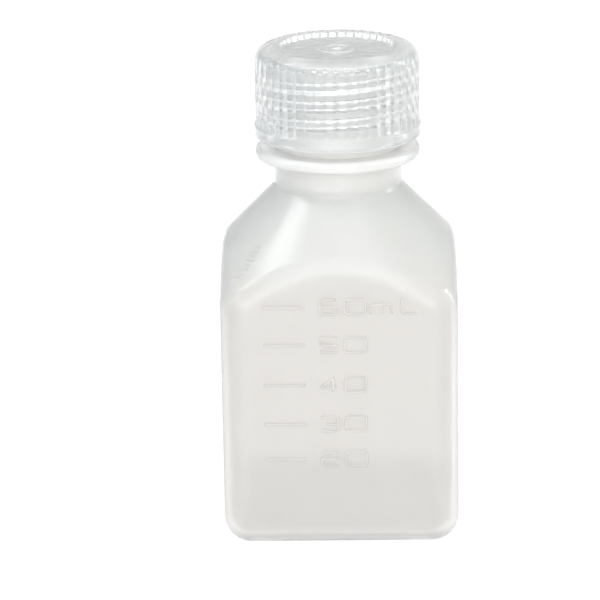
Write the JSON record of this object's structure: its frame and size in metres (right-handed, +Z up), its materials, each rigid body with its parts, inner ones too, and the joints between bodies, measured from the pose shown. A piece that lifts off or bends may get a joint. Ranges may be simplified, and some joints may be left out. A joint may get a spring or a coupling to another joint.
{
  "type": "square laboratory bottle",
  "caption": "Square translucent plastic laboratory bottle with a moulded volume scale, a 45 degree shoulder, a beaded screw neck and a clear ribbed screw cap with a sealing disc.",
  "frame": {"origin": "centre of the base, on the surface the bottle stands on", "axes": "+Z up along the neck; the face with the scale looks towards -Y; +X to the right of the scale"},
  "size_m": [0.0406, 0.0408, 0.084],
  "materials": {
    "bottle_plastic": "translucent natural, satin",
    "cap_plastic": "clear, glossy",
    "liner_plastic": "translucent natural, satin"
  },
  "bodies": {
    "bottle": {"bottle": "bottle_plastic"},
    "seal": {"cap_liner": "liner_plastic"},
    "cap": {"screw_cap": "cap_plastic"}
  },
  "joints": [
    {"name": "cap_lift", "type": "slide", "parent": "bottle", "child": "seal", "axis": [0, 0, 1], "range_m": [0, 0.01905]},
    {"name": "cap_turn", "type": "hinge", "parent": "seal", "child": "cap", "pos_m": [0, 0, 0.0823], "axis": [0, 0, 1], "range_deg": [0, 2160]}
  ],
  "couplings": [
    {"joint": "cap_lift", "follows": "cap_turn", "m_per_rad": 0.00050532}
  ]
}
